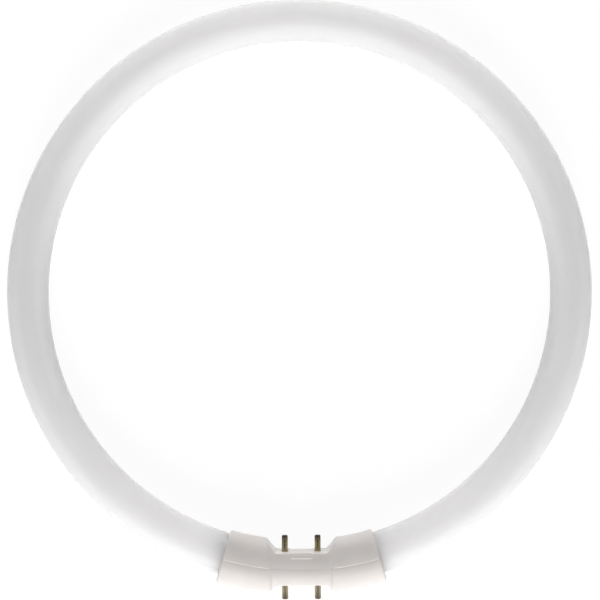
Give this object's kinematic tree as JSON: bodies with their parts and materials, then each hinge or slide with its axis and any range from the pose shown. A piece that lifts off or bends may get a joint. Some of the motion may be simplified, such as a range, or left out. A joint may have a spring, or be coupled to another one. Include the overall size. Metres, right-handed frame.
{
  "type": "circular fluorescent tube",
  "caption": "Slim milky-white glass ring lamp whose sealed ends meet in a moulded white cap, with brass contact pins pointing into the ring and out of it.",
  "frame": {"origin": "centre of the ring, in the plane of the tube's middle line", "axes": "+Z along the ring's axis, towards the side that faces the room, +Y from the cap towards the far side of the ring, +X to the right when seen from +Z with the cap at the bottom"},
  "size_m": [0.2264, 0.2321, 0.021],
  "materials": {
    "phosphor_glass": "smooth clear glass over a milky white powder coating, so it reads as opaque white",
    "cap_plastic": "moulded white plastic, satin",
    "pin_brass": "drawn brass, slightly dull",
    "lead_wire": "drawn nickel-plated wire"
  },
  "bodies": {
    "root": {"glass_tube": "phosphor_glass", "cap_inner_half": "cap_plastic", "cap_outer_half": "cap_plastic", "inner_pin_left": "pin_brass", "inner_pin_right": "pin_brass", "outer_pin_left": "pin_brass", "outer_pin_right": "pin_brass", "inner_lead_wire_left": "lead_wire", "inner_lead_wire_right": "lead_wire", "outer_lead_wire_left": "lead_wire", "outer_lead_wire_right": "lead_wire"}
  },
  "joints": []
}
